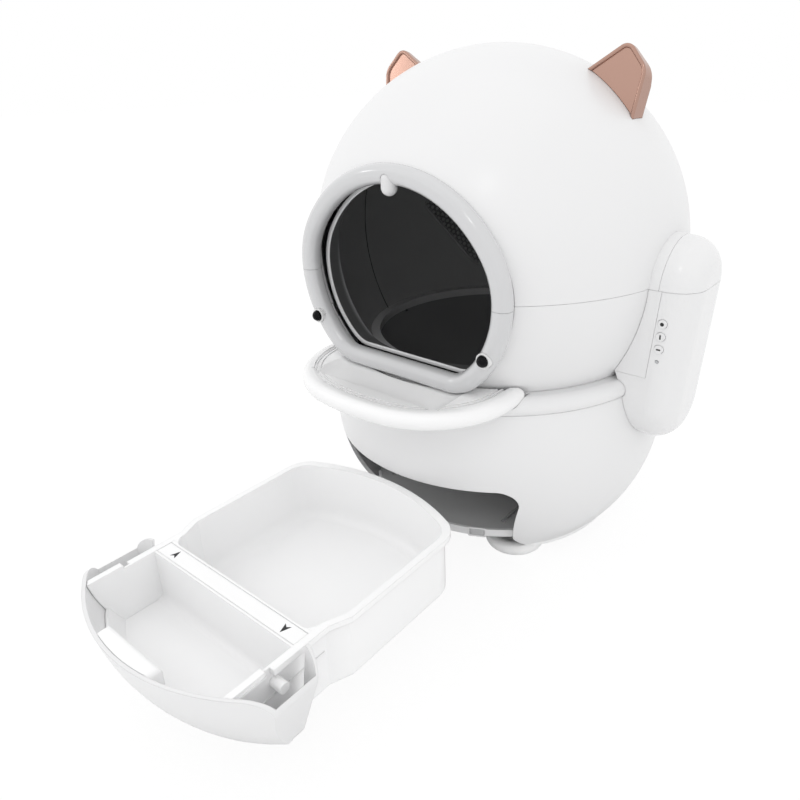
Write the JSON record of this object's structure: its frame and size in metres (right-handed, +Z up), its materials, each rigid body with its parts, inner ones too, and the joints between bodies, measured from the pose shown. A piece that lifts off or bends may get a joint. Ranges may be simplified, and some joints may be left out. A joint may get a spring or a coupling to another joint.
{
  "type": "self-cleaning litter box",
  "caption": "Ball-shaped self-cleaning litter box with a round entrance, a turning sieve drum and a waste drawer drawn out in front.",
  "frame": {"origin": "on the floor, midway between the outermost points on each side and from the drawn-out drawer's front to the ball's back", "axes": "+Z up, the entrance and the drawer face -Y, +X is to the right of somebody looking at the back along +Y"},
  "size_m": [0.6212, 0.8975, 0.68],
  "materials": {
    "white_shell": "satin white moulded shell",
    "white_trim": "white gloss trim",
    "ring_grey": "light grey gloss ring",
    "rose_gold": "rose gold plated",
    "sensor_black": "black glossy lens",
    "drum_grey": "dark grey satin drum",
    "liner_black": "soft dark liner",
    "sieve_black": "black perforated panel",
    "seal_black": "rubber seal",
    "drive_grey": "acetal running parts",
    "metal": "steel",
    "motor_can": "dark motor can",
    "bay_dark": "dark grey chassis",
    "bay_grey": "mid grey rail",
    "board_green": "circuit board",
    "foot_rubber": "rubber foot pad",
    "tray_white": "white tray",
    "lamp_clear": "clear lamp lens"
  },
  "bodies": {
    "housing": {"base_bowl": "white_shell", "base_plate": "bay_dark", "bay_floor": "bay_dark", "bay_rail_left": "bay_grey", "bay_rail_right": "bay_grey", "bay_roof": "bay_dark", "belt_moulding": "white_trim", "control_board": "board_green", "cradle_front": "bay_dark", "cradle_rear": "bay_dark", "dome_shell": "white_shell", "ear_left": "rose_gold", "ear_right": "rose_gold", "entrance_nub": "white_trim", "foot_pads": "foot_rubber", "front_step": "white_trim", "gear_motor": "motor_can", "lower_shell": "white_shell", "motor_bracket": "metal", "pod_cap_left": "white_trim", "pod_cap_right": "white_trim", "pod_housing_left": "white_trim", "pod_housing_right": "white_trim", "pod_neck_left": "white_trim", "pod_neck_right": "white_trim", "power_inlet": "bay_dark", "ring_lower": "ring_grey", "ring_upper": "ring_grey", "roller_axles": "metal", "sensor_bezel_left": "white_trim", "sensor_bezel_right": "white_trim", "sensor_dome_left": "sensor_black", "sensor_dome_right": "sensor_black", "sill_lip": "white_trim", "status_lamp": "lamp_clear", "waste_chute": "bay_dark"},
    "drum": {"drum_rear_shell": "drum_grey", "drum_front_shell": "drum_grey", "drum_mouth_trim": "white_trim", "port_gasket": "seal_black", "drum_track_front": "drive_grey", "drum_track_rear": "drive_grey", "drum_ring_gear": "drive_grey", "litter_liner": "liner_black", "litter_ledge": "drum_grey", "sieve_grille": "sieve_black"},
    "drawer": {"drawer_tray": "tray_white", "drawer_panel": "white_shell", "divider_strip": "tray_white", "grip_tab": "tray_white"},
    "pinion": {"drive_pinion": "drive_grey", "pinion_shaft": "metal"},
    "roller_front_right": {"roller_front_right": "drive_grey"},
    "roller_front_left": {"roller_front_left": "drive_grey"},
    "roller_rear_right": {"roller_rear_right": "drive_grey"},
    "roller_rear_left": {"roller_rear_left": "drive_grey"},
    "button_manual": {"button_manual": "white_trim"},
    "button_auto": {"button_auto": "white_trim"},
    "button_clean": {"button_clean": "white_trim"}
  },
  "joints": [
    {"name": "drum_spin", "type": "hinge", "parent": "housing", "child": "drum", "pos_m": [0, 0.18877, 0.42], "axis": [0, 1, 0], "continuous": true},
    {"name": "drawer_slide", "type": "slide", "parent": "housing", "child": "drawer", "axis": [0, 1, 0], "range_m": [0, 0.393]},
    {"name": "pinion_spin", "type": "hinge", "parent": "housing", "child": "pinion", "pos_m": [0.16712, 0.24677, 0.22083], "axis": [0, 1, 0], "continuous": true},
    {"name": "roller_front_right_spin", "type": "hinge", "parent": "housing", "child": "roller_front_right", "pos_m": [0.14527, 0.11878, 0.22005], "axis": [0, 1, 0], "continuous": true},
    {"name": "roller_front_left_spin", "type": "hinge", "parent": "housing", "child": "roller_front_left", "pos_m": [-0.14527, 0.11878, 0.22005], "axis": [0, 1, 0], "continuous": true},
    {"name": "roller_rear_right_spin", "type": "hinge", "parent": "housing", "child": "roller_rear_right", "pos_m": [0.14997, 0.21877, 0.21358], "axis": [0, 1, 0], "continuous": true},
    {"name": "roller_rear_left_spin", "type": "hinge", "parent": "housing", "child": "roller_rear_left", "pos_m": [-0.14997, 0.21877, 0.21358], "axis": [0, 1, 0], "continuous": true},
    {"name": "button_manual_press", "type": "slide", "parent": "housing", "child": "button_manual", "axis": [0, 1, 0], "range_m": [0, 0.0012], "stiffness_N_per_m": 400},
    {"name": "button_auto_press", "type": "slide", "parent": "housing", "child": "button_auto", "axis": [0, 1, 0], "range_m": [0, 0.0012], "stiffness_N_per_m": 400},
    {"name": "button_clean_press", "type": "slide", "parent": "housing", "child": "button_clean", "axis": [0, 1, 0], "range_m": [0, 0.0012], "stiffness_N_per_m": 400}
  ],
  "couplings": [
    {"joint": "pinion_spin", "follows": "drum_spin", "ratio": -12},
    {"joint": "roller_front_right_spin", "follows": "drum_spin", "ratio": -14.438},
    {"joint": "roller_front_left_spin", "follows": "drum_spin", "ratio": -14.438},
    {"joint": "roller_rear_right_spin", "follows": "drum_spin", "ratio": -14.938},
    {"joint": "roller_rear_left_spin", "follows": "drum_spin", "ratio": -14.938}
  ]
}
